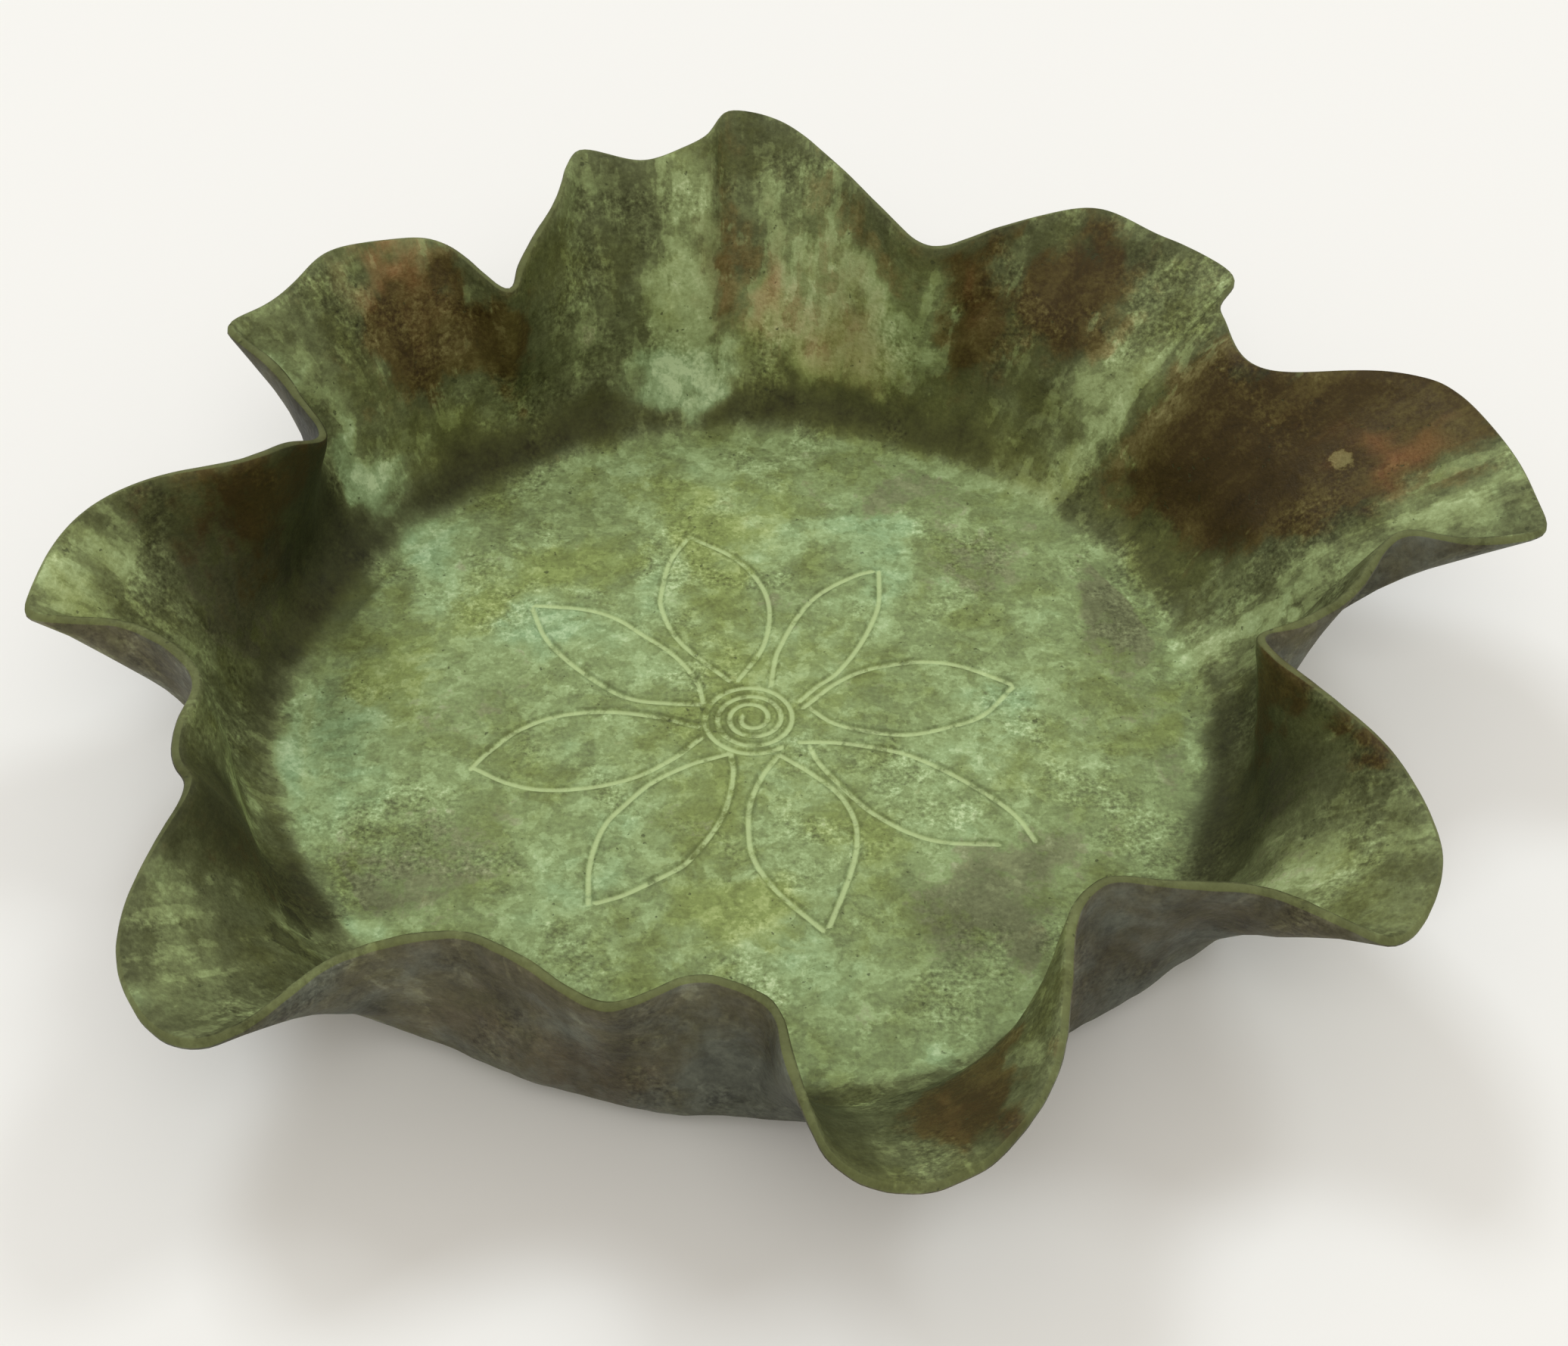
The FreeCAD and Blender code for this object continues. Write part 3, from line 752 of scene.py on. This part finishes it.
green = crust.colours((0.0, (42, 46, 24)), (0.2, (64, 70, 40)), (0.4, (92, 101, 66)),
                      (0.55, (115, 128, 85)), (0.7, (138, 156, 104)), (0.85, (162, 184, 130)),
                      (1.0, (198, 216, 166)))
sea = crust.colours((0.0, (40, 46, 28)), (0.4, (84, 98, 64)), (0.7, (124, 150, 106)),
                    (0.85, (148, 178, 132)), (1.0, (188, 214, 168)))
yellow = crust.colours((0.0, (46, 46, 20)), (0.4, (98, 106, 58)), (0.7, (142, 158, 92)),
                       (1.0, (194, 208, 142)))
brown = crust.colours((0.0, (44, 34, 14)), (0.25, (66, 53, 23)), (0.42, (90, 79, 40)),
                      (0.6, (122, 114, 70)), (0.8, (158, 152, 104)), (1.0, (196, 194, 146)))
grey = crust.colours((0.0, (46, 46, 30)), (0.4, (94, 97, 68)), (0.7, (136, 142, 104)),
                     (1.0, (190, 198, 158)))

tint = broad * 1.7 + middle * 1.2 + large_flecks * 0.16
colour = blend((tint * 0.8 + mint * 0.6 - 0.1).ramp(0.0, 0.8), green, sea)
colour = blend((olive * 0.8 - tint - mint * 0.5 + 0.1).ramp(0.0, 0.7), colour, yellow)
colour = blend(ashen * 0.8, colour, grey)
brownness = (umber * 0.85 + streaks * 0.8 + middle * 0.9 + fine_marks * 0.6 - small_flecks * 0.12
             - mint * 0.5 - cream_and_painted_light * 0.2).ramp(0.2, 0.66) * 0.8 + on_wall * 0.2
colour = blend(brownness, colour, brown)
rosy = crust.colours((0.2, (118, 66, 34)), (0.5, (144, 90, 56)), (0.8, (186, 148, 112)))
colour = blend((copper * 1.1 + streaks * 0.5 + middle * 0.6).ramp(0.1, 1.3) * 0.6, colour, rosy)

# The outside is browned and hardly greened; the rim's edge keeps an olive green.
earthy = crust.colours((0.0, (56, 50, 38)), (0.4, (101, 95, 74)), (0.7, (136, 134, 108)),
                       (1.0, (170, 170, 142)))
slate = crust.colours((0.0, (56, 58, 50)), (0.4, (102, 106, 92)), (0.7, (138, 143, 126)),
                      (1.0, (172, 178, 160)))
shade = blend((broad * 1.8 + middle * 0.8 + 0.5).ramp(0.25, 0.75), earthy, slate)
colour = blend(outside * (0.85 - rise.ramp(0.5, 0.1) * 0.6 + middle * 1.4 + broad), colour, shade)
colour = blend(rim_edge * (0.5 + middle * 2.0), colour, pigment(104, 110, 68))

# Pits and specks, and the chased lines: pale salts in the bottom, a broken dark edge beside it.
pit = (speck + middle * 0.4).ramp(-0.2, -0.27) * (1 - outside)
colour = blend(pit * 0.65, colour, pigment(58, 62, 36))
line_fill = line.ramp(0.36, 0.14) * (fine_marks + middle * 0.8).ramp(-0.22, 0.0)
line_shade = (line.ramp(0.8, 0.5) * line.ramp(0.25, 0.42)
              * (fine_marks * 1.2 + middle).ramp(0.12, -0.12))
colour = blend(line_shade * 0.35, colour, pigment(84, 94, 54))
colour = blend(line_fill * 0.75, colour, pigment(188, 206, 150))

CRUST_SHINE = 0.22       # a dry salt crust reflects little
RELIEF_STRENGTH = 0.4
RELIEF_DEPTH = 0.4       # millimetres
bare = brownness * on_wall
metal = bare * 0.25 + copper * 0.3
gloss = 0.74 - bare * 0.18 - copper * 0.1 - outside * 0.1 + fine_marks * 0.3
relief = middle * 0.5 + fine_marks * 0.7 + grain * 0.5 + large_flecks * 0.06 + small_flecks * 0.08 \
    - pit * 0.25
bump = start.add("Bump", {"Height": relief, "Strength": RELIEF_STRENGTH,
                          "Distance": RELIEF_DEPTH * MM})
shader = start.add("BsdfPrincipled", {"Base Color": colour, "Metallic": metal, "Roughness": gloss,
                                      "Normal": bump, "Specular IOR Level": CRUST_SHINE})
start.add("OutputMaterial", {"Surface": shader})
bowl.data.materials.append(patina)

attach(bowl, "root")
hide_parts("bowl")

# ---------------------------------------------------------------------------------------------
# The table: a plain sheet of off-white card that the bowl stands on. It is one flat square, wide
# enough to run past the view on every side, and isn't part of the bowl.

TABLE_HALF = 9000.0      # half the card's side
CARD_MARKS = 260         # size of the card's faint unevenness
CARD_ROUGHNESS = 0.7
CARD_SHINE = 0.2

card_corners = np.array([(-1, -1, 0), (1, -1, 0), (1, 1, 0), (-1, 1, 0)]) * TABLE_HALF
card = mesh_from("table_card", card_corners, np.array([[0, 1, 2, 3]]), np.empty((0, 3), int))
card_paint = bpy.data.materials.new("white_card")
card_paint.use_nodes = True
card_paint.node_tree.nodes.clear()
card_start = Wire(card_paint.node_tree)
card_place = card_start.add("TexCoord", out=3)
card_colour = blend(cloud(card_place, CARD_MARKS, detail=2),
                    pigment(243, 243, 241), pigment(247, 246, 242))
card_shader = card_start.add("BsdfPrincipled", {
    "Base Color": card_colour, "Roughness": CARD_ROUGHNESS, "Specular IOR Level": CARD_SHINE})
card_start.add("OutputMaterial", {"Surface": card_shader})
card.data.materials.append(card_paint)

# ---------------------------------------------------------------------------------------------
# Light and camera: daylight from windows behind, a warm room round it, and a view from the
# front at about 44 degrees above the table.

ROOM_COLOUR = (1.0, 0.935, 0.85, 1.0)
ROOM_STRENGTH = 0.57

room = bpy.data.worlds.new("room")
room.use_nodes = True
walls = room.node_tree.nodes["Background"]
walls.inputs["Color"].default_value = ROOM_COLOUR
walls.inputs["Strength"].default_value = ROOM_STRENGTH
bpy.context.scene.world = room


def window(name, place, size, power, tint):
    """A rectangle of soft light facing the bowl: place and size in metres, power in watts."""
    lamp = bpy.data.lights.new(name, "AREA")
    lamp.shape = "RECTANGLE"
    lamp.size, lamp.size_y = size
    lamp.energy = power
    lamp.color = tint
    lit = bpy.data.objects.new(name, lamp)
    lit.location = place
    lit.rotation_euler = (-Vector(place)).to_track_quat("-Z", "Y").to_euler()
    bpy.context.scene.collection.objects.link(lit)


window("left_window", (-0.9, 1.3, 2.0), (0.8, 0.6), 16.5, (0.87, 0.94, 1.0))
window("right_window", (1.1, 1.1, 1.8), (0.6, 0.6), 9.5, (0.9, 0.96, 1.0))
window("front_window", (0.1, -1.3, 1.7), (1.6, 1.2), 12.5, (1.0, 0.985, 0.96))

# Angles in degrees, lengths in millimetres.
CAMERA_ELEVATION = 43.98
CAMERA_DISTANCE = 248.7
CAMERA_ROLL = 0.99
CAMERA_TARGET = (3.5, 6.6, SHEET)
SENSOR_WIDTH = 36.0
FOCAL_LENGTH = 54.608
NEAREST, FARTHEST = 0.01, 20.0  # what the camera sees, in metres

elevation = math.radians(CAMERA_ELEVATION)
back = Vector((0, -math.cos(elevation), math.sin(elevation)))
right = Vector((1, 0, 0))
up = back.cross(right)
roll = math.radians(CAMERA_ROLL)
turned_right = right * math.cos(roll) + up * math.sin(roll)
turned_up = up * math.cos(roll) - right * math.sin(roll)
eye = (Vector(CAMERA_TARGET) + back * CAMERA_DISTANCE) * MM
lens = bpy.data.cameras.new("camera")
lens.sensor_width = SENSOR_WIDTH
lens.lens = FOCAL_LENGTH
lens.clip_start, lens.clip_end = NEAREST, FARTHEST
camera = bpy.data.objects.new("camera", lens)
turned = Matrix((turned_right, turned_up, back)).transposed().to_4x4()
camera.matrix_world = Matrix.Translation(eye) @ turned
bpy.context.scene.collection.objects.link(camera)
bpy.context.scene.camera = camera
bpy.context.scene.view_settings.view_transform = "Standard"
